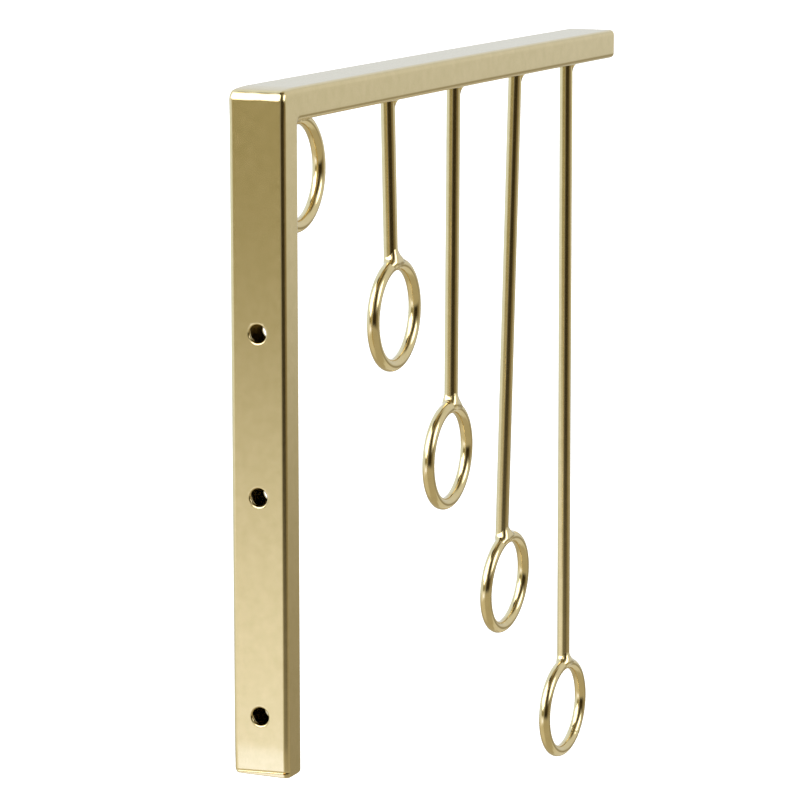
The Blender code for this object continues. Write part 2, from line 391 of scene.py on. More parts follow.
def corner_relief(point):
    """Hollows and a swell where the post's wall face turns into the ground corner."""
    drop = TOP_Z - point.z
    spot = Vector((point.x / CORNER_SIZE_X, CORNER_PHASE, point.z / CORNER_SIZE_Z))
    corner = bell(drop - CORNER_DROP, CORNER_HEIGHT) * bell(point.y, CORNER_DEPTH)
    uneven = noise.noise(spot) * CORNER_MARK
    swell = SWELL * bell(point.x - SWELL_X, SWELL_WIDTH) * bell(drop - SWELL_DROP, SWELL_HEIGHT)
    return corner * uneven + swell * bell(point.y, CORNER_DEPTH)


def ground_surface(point, normal):
    """How far the tube's surface stands out from its plain section, in metres."""
    broad = noise.noise(point / BROAD_SIZE) * BROAD_WAVE
    fine = noise.noise(point / FINE_SIZE) * FINE_WAVE
    mitre = point.y + point.z - TOP_Z
    mark = noise.noise(point / MITRE_SIZE) * MITRE_MARK * bell(mitre, MITRE_WIDTH)
    height = point.z - FOOT_Z
    seam = SEAM_DEPTH * bell(height - SEAM_HEIGHT - SEAM_SLOPE * point.x, SEAM_WIDTH)
    wall_side = max(0.0, -normal.y)
    return broad + fine + mark + corner_relief(point) - (seam + foot_taper(height)) * wall_side


def tube_piece(name, stations):
    """A length of tube, hollow and closed, with the ground relief in its outer surface."""
    vertices, faces = [], []
    for station in stations:
        ring, normals = station_ring(station)
        vertices += [p + n * ground_surface(p, n) for p, n in zip(ring, normals)]
    for station in stations:
        vertices += station_ring(station, hollow=True)[0]
    count = len(vertices) // (2 * len(stations))
    hollow = count * len(stations)
    end = (len(stations) - 1) * count
    for k in range(0, end, count):
        faces += bridge(k, k + count, count)
    faces += bridge(end, hollow + end, count)
    faces += bridge(hollow, 0, count)
    outer_faces = len(faces)
    for k in range(0, end, count):
        faces += bridge(hollow + k + count, hollow + k, count)
    # The hollow's faces take the near-black steel: painted shade inside the tube
    inside = range(outer_faces, len(faces))
    return new_object(name, vertices, faces, inside)


def dome_rise(offset, out, dome, edge):
    """How far a domed plate stands out at an offset from its middle; nothing at its rim."""
    across = offset.x / (HALF_WIDTH - edge)
    outward = offset.dot(out) / (DEPTH / 2 - edge)
    return dome * max(0.0, 1.0 - across * across) * max(0.0, 1.0 - outward * outward)


def plate_rings(station, along, thickness, edge_radius, dome):
    """Rings of points up a plate's side, round its edge and in over its face.

    Also gives the rings' outward directions and the middle of the face.
    """
    ring, normals = station_ring(station)
    centre = station.anchor + station.out * (DEPTH / 2) + along * thickness
    radii = [edge_radius(p.x, (p - station.anchor).dot(station.out)) for p in ring]
    widest = max(radii)
    rings = [ring]
    for share in spaced(0.0, 1.0, PLATE_SHARE)[1:-1]:
        rings.append([p + along * (thickness - r) * share for p, r in zip(ring, radii)])
    for step in range(EDGE_STEPS + 1):
        angle = math.radians(90.0 * step / EDGE_STEPS)
        rings.append([
            p - n * r * (1.0 - math.cos(angle)) + along * (thickness - r + r * math.sin(angle))
            for p, n, r in zip(ring, normals, radii)
        ])
    rim = rings[-1]
    for step in range(1, DOME_STEPS):
        share = 1.0 - step / DOME_STEPS
        offsets = [(p - centre) * share for p in rim]
        rises = [dome_rise(q, station.out, dome, widest) for q in offsets]
        rings.append([centre + q + along * rise for q, rise in zip(offsets, rises)])
    return rings, normals, centre


def end_plate(name, station, along, thickness, edge_radius, dome):
    """A plate that closes the tube beyond station, its edge ground round.

    edge_radius gives the rounding at a place across the tube and out from its anchor.
    """
    rings, normals, centre = plate_rings(station, along, thickness, edge_radius, dome)
    count = len(normals)
    vertices = []
    for points in rings:
        vertices += [p + n * ground_surface(p, n) for p, n in zip(points, normals)]
    vertices.append(centre + along * dome)
    faces = [tuple(range(count))]
    for k in range(len(rings) - 1):
        faces += bridge(k * count, (k + 1) * count, count)
    last = (len(rings) - 1) * count
    for i in range(count):
        faces.append((last + i, len(vertices) - 1, last + (i + 1) % count))
    return new_object(name, vertices, faces)


def turned(name, profile, centre, bore=()):
    """A closed solid: points (radius, y) from end to end, turned about an axis along Y.

    The bands of faces in bore take material slot 1.
    """
    vertices, faces = [], []
    for radius, y in profile:
        for step in range(HOLE_STEPS):
            angle = math.tau * step / HOLE_STEPS
            vertices.append(centre + Vector((radius * math.cos(angle), y, radius * math.sin(angle))))
    for k in range(len(profile) - 1):
        faces += bridge(k * HOLE_STEPS, (k + 1) * HOLE_STEPS, HOLE_STEPS)
    faces.append(tuple(reversed(range(HOLE_STEPS))))
    faces.append(tuple(range(len(vertices) - HOLE_STEPS, len(vertices))))
    inside = [band * HOLE_STEPS + step for band in bore for step in range(HOLE_STEPS)]
    item = new_object(name, vertices, faces, inside)
    face_outwards(item)
    return item


def rim_profile(bore, rim, face, inward):
    """Points of a hole's rounded rim at the plane y = face, from the face into the bore."""
    points = [(bore + rim, face - inward * CUT_MARGIN)]
    for step in range(RIM_STEPS + 1):
        angle = math.radians(90.0 * step / RIM_STEPS)
        radius = bore + rim * (1.0 - math.sin(angle))
        points.append((radius, face + inward * rim * (1.0 - math.cos(angle))))
    return points


def cut(item, cutter):
    """Take cutter away from item for good."""
    modifier = item.modifiers.new("cut", "BOOLEAN")
    modifier.operation = "DIFFERENCE"
    modifier.object = cutter
    modifier.solver = "EXACT"
    evaluated = item.evaluated_get(bpy.context.evaluated_depsgraph_get())
    mesh = bpy.data.meshes.new_from_object(evaluated)
    item.modifiers.clear()
    item.data = mesh


def drop_slivers(item):
    """Merge points that all but coincide, and drop the faces that this flattens."""
    form = bmesh.new()
    form.from_mesh(item.data)
    bmesh.ops.dissolve_degenerate(form, dist=SLIVER, edges=form.edges)
    form.to_mesh(item.data)
    form.free()


def smooth(item, angle):
    item.data.shade_smooth()
    item.data.set_sharp_from_angle(angle=math.radians(angle))
    weighting = item.modifiers.new("even_normals", "WEIGHTED_NORMAL")
    weighting.keep_sharp = True


def finished(item, node, materials):
    """Put the piece in the place of its CAD node, on the only body."""
    item.data.materials.clear()
    for material in materials:
        item.data.materials.append(material)
    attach(item, "root")
    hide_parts(node)


def screw_hole_heights():
    """Height of each screw hole's axis, from the openings that the record states."""
    heights = []
    for opening in frame["record"]["physics"]["openings"]:
        if opening["name"].startswith("screw_hole"):
            low, high = opening["box_m"]
            heights.append((low[2] + high[2]) / 2)
    return heights


def drill_screw_hole(post, height):
    """Cut one screw hole through both walls of the post, with a rounded rim on each."""
    front = rim_profile(SCREW_HOLE_RADIUS, SCREW_HOLE_RIM, 0.0, 1.0)
    back = rim_profile(SCREW_HOLE_RADIUS, SCREW_HOLE_RIM, DEPTH, -1.0)
    # The bore and the innermost bands of each rim take the near-black steel: painted shade in the
    # hole
    bore = range(len(front) - 1 - RIM_SHADE_BANDS, len(front) + RIM_SHADE_BANDS)
    cutter = turned("screw_hole_cutter", front + back[::-1], Vector((0.0, 0.0, height)), bore)
    cut(post, cutter)
    bpy.data.objects.remove(cutter)


def drill_vent(pieces):
    """Cut the blind vent, which lies across the seam between the post and its foot plate."""
    outline = rim_profile(VENT_RADIUS, VENT_RIM, 0.0, 1.0) + [(VENT_RADIUS, VENT_DEPTH)]
    bands = len(outline) - 1
    # The vent's innermost bands take the near-black steel: painted shade in the vent
    bore = range(bands - VENT_SHADE_BANDS, bands)
    cutter = turned("vent_cutter", outline, Vector((VENT_X, 0.0, FOOT_Z + VENT_HEIGHT)), bore)
    for piece in pieces:
        cut(piece, cutter)
    bpy.data.objects.remove(cutter)


def make_tube():
    """The post, the arm, the weld between them and the plates that close their ends."""
    post_end, bend, arm_run = post_stations(), bend_stations(), arm_stations()
    seam = mitre_index(bend)
    down = Vector((0.0, 0.0, -1.0))
    forward = Vector((0.0, 1.0, 0.0))
    tip_thickness = TIP_Y - ARM_END_Y - TIP_DOME
    post = tube_piece("post_tube", post_end[:-1] + bend[:seam])
    weld = tube_piece("mitre_weld", bend[seam - 1:seam + 2])
    arm = tube_piece("arm_tube", bend[seam + 1:] + arm_run[1:])
    foot = end_plate("post_foot_plate", post_end[0], down, POST_START_Z - FOOT_Z, foot_edge, 0.0)
    tip = end_plate("arm_tip_plate", arm_run[-1], forward, tip_thickness, tip_edge, TIP_DOME)
    for height in screw_hole_heights():
        drill_screw_hole(post, height)
    drill_vent((foot, post))
    for item in (post, foot):
        drop_slivers(item)
    for item in (post, weld, arm, foot, tip):
        smooth(item, TUBE_SMOOTH)
    finished(post, "wall_post", (POST_BRASS, PAINTED_SHADE_STEEL))
    finished(foot, "post_end_cap", (POST_BRASS, PAINTED_SHADE_STEEL))
    finished(arm, "arm", (ARM_BRASS, PAINTED_SHADE_STEEL))
    finished(tip, "arm_end_cap", (ARM_BRASS,))
    finished(weld, "corner_weld", (ARM_BRASS, PAINTED_SHADE_STEEL))


def foot_edge(across, out):
    """Rounding of the foot's edge: small at the wall face, more at the left and the room side."""
    start = (1.0 - FOOT_LEFT_SHARE) * HALF_WIDTH
    left = min(1.0, max(0.0, (-across - start) / (FOOT_LEFT_SHARE * HALF_WIDTH)))
    room = max(0.0, 1.0 - out / FOOT_EDGE_REACH)
    return FOOT_EDGE + max(FOOT_EDGE_LEFT * left * left, FOOT_EDGE_ROOM * room)


def tip_edge(across, out):
    """Rounding of the arm tip's edge, the same all round."""
    return TIP_EDGE


def cad_points(node):
    """A CAD node's own points, each once."""
    points = np.array([v.co for v in frame["nodes"][node].data.vertices], float)
    return np.unique(points.round(7), axis=0)


class Rod(NamedTuple):
    """A straight rod: the middles of its two ends, its direction and its radius."""

    top: np.ndarray
    end: np.ndarray
    up: np.ndarray
    radius: float


class Ring(NamedTuple):
    """A ring of round wire, whose plane is at right angles to its normal."""

    centre: np.ndarray
    normal: np.ndarray
    radius: float       # of the wire's centre line
    wire: float         # radius of the wire


def read_rod(number):
    points = cad_points(f"drop_rod_{number}")
    upper = points[:, 2] > points[:, 2].mean()
    top, end = points[upper].mean(0), points[~upper].mean(0)
    up = (top - end) / np.linalg.norm(top - end)
    return Rod(top, end, up, np.linalg.norm(points[upper][0] - top))


def read_ring(number):
    points = cad_points(f"ring_{number}")
    centre = points.mean(0)
    normal = np.linalg.svd(points - centre, full_matrices=False)[2][2]
    normal *= math.copysign(1.0, normal[0])
    off_plane = (points - centre) @ normal
    reach = np.linalg.norm(points - centre - np.outer(off_plane, normal), axis=1)
    return Ring(centre, normal, (reach.max() + reach.min()) / 2, (reach.max() - reach.min()) / 2)


def read_ring_1(like):
    """Ring 1 is cut at the arm's underside, so it is read from its box and another ring."""
    low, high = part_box("ring_1")
    outside = like.radius + like.wire
    centre = np.array(((low.x + high.x) / 2, (low.y + high.y) / 2, low.z + outside))
    return Ring(centre, np.array((1.0, 0.0, 0.0)), like.radius, like.wire)


def sweep(name, centres, normals, binormals, radii, closed):
    """Round wire through centres; a closed one joins its end to its start."""
    vertices, faces = [], []
    for c, n, b, r in zip(centres, normals, binormals, radii):
        for step in range(WIRE_STEPS):
            angle = math.tau * step / WIRE_STEPS
            vertices.append(c + r * (math.cos(angle) * n + math.sin(angle) * b))
    count = len(centres)
    for k in range(count - (0 if closed else 1)):
        faces += bridge(k * WIRE_STEPS, (k + 1) % count * WIRE_STEPS, WIRE_STEPS)
    if not closed:
        faces.append(tuple(range(WIRE_STEPS)))
        faces.append(tuple(reversed(range(len(vertices) - WIRE_STEPS, len(vertices)))))
    item = new_object(name, vertices, faces)
    face_outwards(item)
    return item


def make_rod(number, rod):
    start = rod.top + rod.up * ROD_EMBED
    stop = rod.end - rod.up * ROD_OVERRUN
    length = np.linalg.norm(start - stop)
    side = np.cross(rod.up, (0.0, 1.0, 0.0))
    side /= np.linalg.norm(side)
    other = np.cross(rod.up, side)
    shares = np.linspace(0.0, 1.0, max(2, round(length / ROD_STEP)))
    centres = [start + (stop - start) * s for s in shares]
    wave = [1.0 + ROD_WAVE * noise.noise(Vector(c) / ROD_WAVE_SIZE) for c in centres]
    radii = [rod.radius * w for w in wave]
    count = len(centres)
    item = sweep(f"hanger_rod_{number}", centres, [side] * count, [other] * count, radii, False)
    smooth(item, ROD_SMOOTH)
    finished(item, f"drop_rod_{number}", (ROD_BRASS,))


def ring_radius_at(angle, seam):
    """The wire's thickness round the ring: even but for the butt weld at seam."""
    away = abs((angle - seam + math.pi) % math.tau - math.pi)
    return 1.0 + SWELLING * bell(away, SWELLING_WIDTH) - GROOVE * bell(away, GROOVE_WIDTH)


def make_ring(number, ring, seam):
    """Ring of round wire, butt welded at the angle seam from +Y towards +Z."""
    forward = np.cross((0.0, 0.0, 1.0), ring.normal)
    forward /= np.linalg.norm(forward)
    upward = np.cross(ring.normal, forward)
    angles = [math.tau * k / RING_STEPS for k in range(RING_STEPS)]
    outward = [math.cos(a) * forward + math.sin(a) * upward for a in angles]
    centres = [ring.centre + ring.radius * o for o in outward]
    radii = [ring.wire * ring_radius_at(a, seam) for a in angles]
    item = sweep(f"wire_ring_{number}", centres, outward, [ring.normal] * RING_STEPS, radii, True)
    for vertex in item.data.vertices:
        vertex.co.z = min(vertex.co.z, UNDERSIDE_Z - RING_1_GAP)
    smooth(item, RING_SMOOTH)
    finished(item, f"ring_{number}", (RING_BRASS,))


def rod_distance(rod, end):
    """Distance to a rod whose rounded end has its centre at end."""
    def distance(points):
        away = points - end
        along = np.maximum(away @ rod.up, 0.0)
        return np.linalg.norm(away - along[..., None] * rod.up, axis=-1) - rod.radius
    return distance


def ring_distance(ring):
    def distance(points):
        away = points - ring.centre
        off_plane = away @ ring.normal
        in_plane = np.linalg.norm(away - off_plane[..., None] * ring.normal, axis=-1)
        return np.hypot(in_plane - ring.radius, off_plane) - ring.wire
    return distance


def fillet(first, second, size):
    """Distance to two shapes with weld metal of the given size between them.

    size gives the fillet's size at points. Away from the fillet the surface sinks just
    below the two shapes, so that only the weld metal itself shows.
    """
    def distance(points):
        a, b, k = first(points), second(points), size(points)
        overlap = np.maximum(k - np.abs(a - b), 0.0)
        metal = overlap * overlap / (4.0 * k)
        sunk = WELD_SINK * np.clip(1.0 - metal / WELD_FEATHER, 0.0, 1.0)
        return np.minimum(a, b) - metal + sunk
    return distance


def neighbours(shape, axis, margin):
    """Slices that pair each grid point with the next one along axis.

    margin is how many points are left out at either end of the other two axes.
    """
    here = [slice(margin, n - margin) for n in shape]
    there = list(here)
    here[axis], there[axis] = slice(0, -1), slice(1, None)
    return tuple(here), tuple(there)


def net_points(grid, values, step):
    """A point in each grid cell that the surface passes through, amid its crossings.

    Also gives each cell's index among the points.
    """
    below = values < 0.0
    shape = np.array(values.shape) - 1
    total = np.zeros((*shape, 3))
    hits = np.zeros(tuple(shape))
    for axis in range(3):
        here, there = neighbours(values.shape, axis, 0)
        crossing = below[here] != below[there]
        a, b = values[here], values[there]
        share = np.where(crossing, a / np.where(crossing, a - b, 1.0), 0.0)
        points = grid[here].copy()
        points[..., axis] += share * step
        others = [i for i in range(3) if i != axis]
        for i in (0, 1):
            for j in (0, 1):
                window = [slice(None)] * 3
                window[others[0]] = slice(i, i + shape[others[0]])
                window[others[1]] = slice(j, j + shape[others[1]])
                hit = crossing[tuple(window)]
                total += np.where(hit[..., None], points[tuple(window)], 0.0)
                hits += hit
    used = hits > 0
    index = np.full(tuple(shape), -1)
    index[used] = np.arange(used.sum())
    return total[used] / hits[used][:, None], index


def net_faces(values, index):
    """A quad for each grid edge that the surface crosses, looking out of the region."""
    below = values < 0.0
    faces = []
    for axis in range(3):
        others = [i for i in range(3) if i != axis]
        here, there = neighbours(values.shape, axis, 1)
        crossing = below[here] != below[there]
        cells = np.argwhere(crossing)
        cells[:, others] += 1
        outward = below[here][crossing]
        for cell, out in zip(cells, outward):
            corners = []
            for i, j in ((0, 0), (1, 0), (1, 1), (0, 1)):
                c = cell.copy()
                c[others[0]] -= i
                c[others[1]] -= j
                corners.append(int(index[tuple(c)]))
            flip = out == (axis != 1)
            faces.append(tuple(corners) if flip else tuple(reversed(corners)))
    return faces


def surface_nets(distance, low, high, step):
    """A closed mesh of quads round the region where distance is below zero."""
    axes = [np.arange(a, b + step, step) for a, b in zip(low, high)]
    grid = np.stack(np.meshgrid(*axes, indexing="ij"), axis=-1)
    values = distance(grid)
    points, index = net_points(grid, values, step)
    return points, net_faces(values, index)


def gradient(distance, points):
    """The slope of a distance at points, from differences along each axis."""
    slopes = []
    for axis in range(3):
        offset = np.zeros(3)
        offset[axis] = SLOPE_STEP
        change = distance(points + offset) - distance(points - offset)
        slopes.append(change / (2 * SLOPE_STEP))
    return np.stack(slopes, axis=-1)


def weld_metal(name, distance, centre, extent):
    """A mesh of the weld metal inside a ball, with ripples in its surface."""
    def clipped(points):
        return np.maximum(distance(points), np.linalg.norm(points - centre, axis=-1) - extent)
    margin = extent + 2 * NET_STEP
    vertices, faces = surface_nets(clipped, centre - margin, centre + margin, NET_STEP)
    for _ in range(WELD_PASSES):
        slope = gradient(clipped, vertices)
        length = np.maximum(np.linalg.norm(slope, axis=-1), LEAST_SLOPE)
        vertices -= (clipped(vertices) / length ** 2)[:, None] * slope
    normals = gradient(clipped, vertices)
    for k, (p, n) in enumerate(zip(vertices, normals)):
        ripple = noise.noise(Vector(p) / RIPPLE_SIZE) * RIPPLE
        vertices[k] = p + n * ripple
    item = new_object(name, vertices, faces)
    drop_slivers(item)
    smooth(item, WELD_SMOOTH)
    return item


class Lobe(NamedTuple):
    """Where a weld is fuller: azimuth in degrees (0 is -Y, 90 is +X) and the fillet's size."""

    azimuth: float
    size: float


ARM_LOBES = (Lobe(115, 4.6 * MM), Lobe(-70, 2.0 * MM))
RING_LOBES = {
    2: (Lobe(65, 4.6 * MM), Lobe(160, 6.2 * MM), Lobe(-40, 2.0 * MM)),
    3: (Lobe(65, 4.0 * MM), Lobe(160, 5.4 * MM), Lobe(-50, 4.0 * MM)),
    4: (Lobe(65, 4.4 * MM), Lobe(160, 6.0 * MM), Lobe(-40, 2.2 * MM)),
    5: (Lobe(65, 4.0 * MM), Lobe(160, 5.0 * MM), Lobe(-40, 2.6 * MM)),
}


def lobed(centre, least, lobes):
    """A fillet size at points round a vertical axis: least, but fuller at the lobes."""
    def size(points):
        away = points - centre
        reach = np.maximum(np.hypot(away[..., 0], away[..., 1]), LEAST_REACH)
        total = np.full(points.shape[:-1], least)
        for lobe in lobes:
            angle = math.radians(lobe.azimuth)
            facing = (away[..., 0] * math.sin(angle) - away[..., 1] * math.cos(angle)) / reach
            total = total + (lobe.size - least) * np.clip(facing, 0.0, 1.0) ** LOBE_POWER
        return total
    return size


def outside_ring(size, ring):
    """The same fillet size, but running out towards the inside of the ring."""
    def limited(points):
        outside = np.linalg.norm(points - ring.centre, axis=-1) - ring.radius
        share = np.clip(WIRE_SHARE + WIRE_GAIN * outside / ring.wire, 0.0, 1.0)
        share = share * share * (3.0 - 2.0 * share)
        return LEAST_FILLET + (size(points) - LEAST_FILLET) * share
    return limited


def arm_distance(underside):
    """Distance to the arm, which is taken to fill everything above its underside."""
    def distance(points):
        return underside - points[..., 2]
    return distance


def make_ring_joint(number, rod, ring):
    """Weld metal where a rod stands on top of its ring."""
    wire_height = ring.centre[2] + ring.radius
    joint = rod.end + rod.up * ((wire_height - rod.end[2]) / rod.up[2])
    end = joint + rod.up * ROD_END_RISE
    size = outside_ring(lobed(joint, RING_FILLET, RING_LOBES[number]), ring)
    distance = fillet(rod_distance(rod, end), ring_distance(ring), size)
    item = weld_metal(f"ring_joint_{number}", distance, joint, RING_JOINT_REACH)
    finished(item, f"ring_weld_{number}", (WELD_BRASS,))


def make_arm_joint(number, rod):
    """Weld metal where a rod meets the arm's underside."""
    centre = rod.top.copy()
    centre[2] = UNDERSIDE_Z - arm_droop(centre[1])
    size = lobed(centre, ARM_FILLET, ARM_LOBES)
    distance = fillet(rod_distance(rod, rod.end), arm_distance(centre[2]), size)
    item = weld_metal(f"arm_joint_{number}", distance, centre, ARM_JOINT_REACH)
    finished(item, f"rod_weld_{number}", (WELD_BRASS,))


def make_ring_1_beads(ring):
    """Two beads of weld metal, left and right of ring 1's top."""
    centre = ring.centre.copy()
    centre[2] = UNDERSIDE_Z

    def size(points):
        return np.full(points.shape[:-1], BEAD_FILLET)

    metal = fillet(ring_distance(ring), arm_distance(UNDERSIDE_Z), size)
    for name, side in (("left", -1.0), ("right", 1.0)):
        def distance(points):
            return np.maximum(metal(points), -side * (points[..., 0] - centre[0]))
        item = weld_metal(f"ring_1_bead_{name}", distance, centre, BEAD_REACH)
        finished(item, f"ring_1_weld_{name}", (WELD_BRASS,))


def link_noise(tree, coordinates, scale, detail, roughness=0.5):
    """A noise texture over object space; scale is its features' size in metres along X, Y, Z."""
    mapping = tree.nodes.new("ShaderNodeMapping")
    mapping.inputs["Scale"].default_value = tuple(1.0 / s for s in scale)
    tree.links.new(coordinates.outputs["Object"], mapping.inputs["Vector"])
    texture = tree.nodes.new("ShaderNodeTexNoise")
    texture.inputs["Scale"].default_value = 1.0
    texture.inputs["Detail"].default_value = detail
    texture.inputs["Roughness"].default_value = roughness
    tree.links.new(mapping.outputs["Vector"], texture.inputs["Vector"])
    return texture.outputs["Fac"]


def link_map(tree, value, start, end, first, last, curve):
    """A value that goes from first to last while another goes from start to end."""
    node = tree.nodes.new("ShaderNodeMapRange")
    node.interpolation_type = curve
    node.inputs["From Min"].default_value = start
    node.inputs["From Max"].default_value = end
    node.inputs["To Min"].default_value = first
    node.inputs["To Max"].default_value = last
    tree.links.new(value, node.inputs["Value"])
    return node.outputs["Result"]


def link_range(tree, value, low, high):
    """Stretch a noise value from its middle range to low and high."""
    return link_map(tree, value, *NOISE_RANGE, low, high, "LINEAR")


def link_bump(tree, height, distance, normal=None):
    node = tree.nodes.new("ShaderNodeBump")
    node.inputs["Strength"].default_value = 1.0
    node.inputs["Distance"].default_value = distance
    tree.links.new(height, node.inputs["Height"])
    if normal is not None:
        tree.links.new(normal, node.inputs["Normal"])
    return node.outputs["Normal"]


def brass(name, rough, grain, grain_depth, mottle_depth):
    """Satin brass under a clear coat. grain is the brush marks' size along X, Y and Z."""
    material = bpy.data.materials.new(name)
    material.use_nodes = True
    tree = material.node_tree
    shader = tree.nodes["Principled BSDF"]
    shader.inputs["Metallic"].default_value = 1.0
    shader.inputs["Coat Weight"].default_value = COAT_WEIGHT
    shader.inputs["Coat Roughness"].default_value = COAT_ROUGHNESS
    coordinates = tree.nodes.new("ShaderNodeTexCoord")
    marks = link_noise(tree, coordinates, grain, GRAIN_DETAIL, GRAIN_ROUGHNESS)
    mottle = link_noise(tree, coordinates, (MOTTLE_SIZE,) * 3, MOTTLE_DETAIL)
    tone = link_mix(tree, link_range(tree, mottle, 0.0, 1.0), BRASS_DEEP, BRASS_PALE)
    tree.links.new(tone, shader.inputs["Base Color"])
    spread = link_range(tree, marks, rough - ROUGHNESS_SPREAD, rough + ROUGHNESS_SPREAD)
    tree.links.new(spread, shader.inputs["Roughness"])
    normal = link_bump(tree, mottle, mottle_depth)
    normal = link_bump(tree, marks, GRAIN_GAIN * grain_depth, normal)
    tree.links.new(normal, shader.inputs["Normal"])
    return material


def painted_shade_steel(name):
    """Bare steel for the inside of the tube and its bores, painted near black: painted shade of the
    hollow.
    """
    material = bpy.data.materials.new(name)
    material.use_nodes = True
    tree = material.node_tree
    shader = tree.nodes["Principled BSDF"]
    shader.inputs["Metallic"].default_value = STEEL_METALLIC
    coordinates = tree.nodes.new("ShaderNodeTexCoord")
    scale = link_noise(tree, coordinates, (STEEL_SCALE_SIZE,) * 3, STEEL_SCALE_DETAIL)
    tone = link_mix(tree, link_range(tree, scale, 0.0, 1.0), STEEL_PAINTED_SHADE_DARK, STEEL_PAINTED_SHADE_LIGHT)
    tree.links.new(tone, shader.inputs["Base Color"])
    tree.links.new(link_range(tree, scale, *STEEL_ROUGHNESS), shader.inputs["Roughness"])
    tree.links.new(link_bump(tree, scale, STEEL_SCALE_DEPTH), shader.inputs["Normal"])
    return material


class Panel(NamedTuple):
    """A soft-edged patch of the studio dome that covers what is listed before it.

    Angles are in degrees. Azimuth 0 is -Y and 90 is +X. The patch is even up to its half
    width and half height from its middle, and gone at a further soft width and height.
    """

    azimuth: float
    elevation: float
    half_width: float
    half_height: float
    soft_width: float
    soft_height: float
    colour: tuple


# The surroundings that the metal reflects. They are more than a plain studio light: their
# places and colours were chosen to resemble the reflections in the photograph, and
# what each one is called is a guess.
DOME_BASE = (0.56, 0.56, 0.50)
SOFTBOX_LIGHT = (3.0, 3.0, 3.0)
PANELS = (
    Panel(0, -90, 180, 66, 1, 20, (0.47, 0.43, 0.31)),          # table
    Panel(-50, -42, 32, 20, 28, 22, (0.66, 0.62, 0.49)),        # its lit side
    Panel(-36, -18, 14, 4, 42, 10, (1.00, 1.02, 1.04)),         # and its brightest part
    Panel(158, -40, 18, 14, 14, 7, (0.68, 0.66, 0.56)),         # pale floor on the right
    Panel(152, -17, 20, 3, 16, 8, (0.34, 0.31, 0.22)),          # far edge of the table
    Panel(-25, -21, 8, 2, 10, 3, (1.28, 1.40, 1.85)),           # a highlight on the table
    Panel(0, 90, 180, 20, 1, 14, (0.48, 0.43, 0.30)),           # ceiling
    Panel(75, 68, 40, 6, 40, 14, (0.14, 0.11, 0.05)),           # its dark side
    Panel(-106, 28, 38, 34, 30, 16, (0.82, 0.92, 1.04)),        # white wall on the left
    Panel(-165, 14, 12, 18, 14, 12, (0.73, 0.76, 0.77)),        # behind the post
    Panel(135, 22, 25, 18, 25, 20, (0.70, 0.71, 0.68)),         # and on the right
    Panel(-19, -4, 14, 3, 20, 8, (0.32, 0.29, 0.155)),          # edge of the table
    Panel(88, -7, 16, 5, 26, 8, (0.24, 0.20, 0.11)),            # dim corner of the room
    Panel(44, -4, 16, 6, 36, 12, (0.020, 0.014, 0.004)),        # dark room past the table
    Panel(38, 24, 6, 24, 26, 14, (0.05, 0.036, 0.012)),         # and behind the camera
    Panel(-24, 75, 45, 12, 20, 5, (0.05, 0.035, 0.015)),        # dark ceiling over the key light
    Panel(-36, 22, 29, 9, 9, 6, SOFTBOX_LIGHT),                 # key softbox
    Panel(-32, 42, 33, 11, 9, 6, SOFTBOX_LIGHT),                # its upper half leans to the right
    Panel(-30, 8, 5, 3, 12, 4, SOFTBOX_LIGHT),                  # its lower edge
    Panel(89, 24, 7, 12, 7, 7, SOFTBOX_LIGHT),                  # second softbox, eight-sided
    Panel(89, 24, 13, 7, 7, 7, SOFTBOX_LIGHT),
)


def link_math(tree, operation, *values):
    """A Math node on sockets and numbers."""
    node = tree.nodes.new("ShaderNodeMath")
    node.operation = operation
    for socket, value in zip(node.inputs, values):
        if isinstance(value, (int, float)):
            socket.default_value = value
        else:
            tree.links.new(value, socket)
    return node.outputs["Value"]


def link_fade(tree, value, start, end):
    """1 up to start, falling smoothly to 0 at end."""
    return link_map(tree, value, start, end, 1.0, 0.0, "SMOOTHSTEP")


def link_panel(tree, azimuth, elevation, panel):
    """How much of a panel shows in each direction."""
    turn = link_math(tree, "SUBTRACT", azimuth, math.radians(panel.azimuth))
    turn = link_math(tree, "ABSOLUTE", link_math(tree, "WRAP", turn, math.pi, -math.pi))
    across = link_fade(tree, turn, math.radians(panel.half_width),
                       math.radians(panel.half_width + panel.soft_width))
    rise = link_math(tree, "SUBTRACT", elevation, math.radians(panel.elevation))
    rise = link_math(tree, "ABSOLUTE", rise)
    along = link_fade(tree, rise, math.radians(panel.half_height),
                      math.radians(panel.half_height + panel.soft_height))
    return link_math(tree, "MULTIPLY", across, along)


def link_mix(tree, share, under, over):
    """Mix two colours; either may be a socket or a tuple."""
    node = tree.nodes.new("ShaderNodeMix")
    node.data_type = "RGBA"
    tree.links.new(share, node.inputs["Factor"])
    for socket, colour in ((node.inputs["A"], under), (node.inputs["B"], over)):
        if isinstance(colour, tuple):
            socket.default_value = (*colour, 1.0)
        else:
            tree.links.new(colour, socket)
    return node.outputs["Result"]


def make_world():
    """A studio dome of soft panels, which the camera itself sees as plain white."""
    world = bpy.data.worlds.new("studio")
    bpy.context.scene.world = world
    world.use_nodes = True
    tree = world.node_tree
    tree.nodes.clear()
    coordinates = tree.nodes.new("ShaderNodeTexCoord")
    split = tree.nodes.new("ShaderNodeSeparateXYZ")
    tree.links.new(coordinates.outputs["Generated"], split.inputs["Vector"])
    x, y, z = split.outputs
    azimuth = link_math(tree, "ARCTAN2", x, link_math(tree, "MULTIPLY", y, -1.0))
    elevation = link_math(tree, "ARCSINE", z)
    colour = DOME_BASE
    for panel in PANELS:
        colour = link_mix(tree, link_panel(tree, azimuth, elevation, panel), colour, panel.colour)
    paths = tree.nodes.new("ShaderNodeLightPath")
    colour = link_mix(tree, paths.outputs["Is Camera Ray"], colour, (1.0, 1.0, 1.0))
    background = tree.nodes.new("ShaderNodeBackground")
    tree.links.new(colour, background.inputs["Color"])
    output = tree.nodes.new("ShaderNodeOutputWorld")
    tree.links.new(background.outputs["Background"], output.inputs["Surface"])


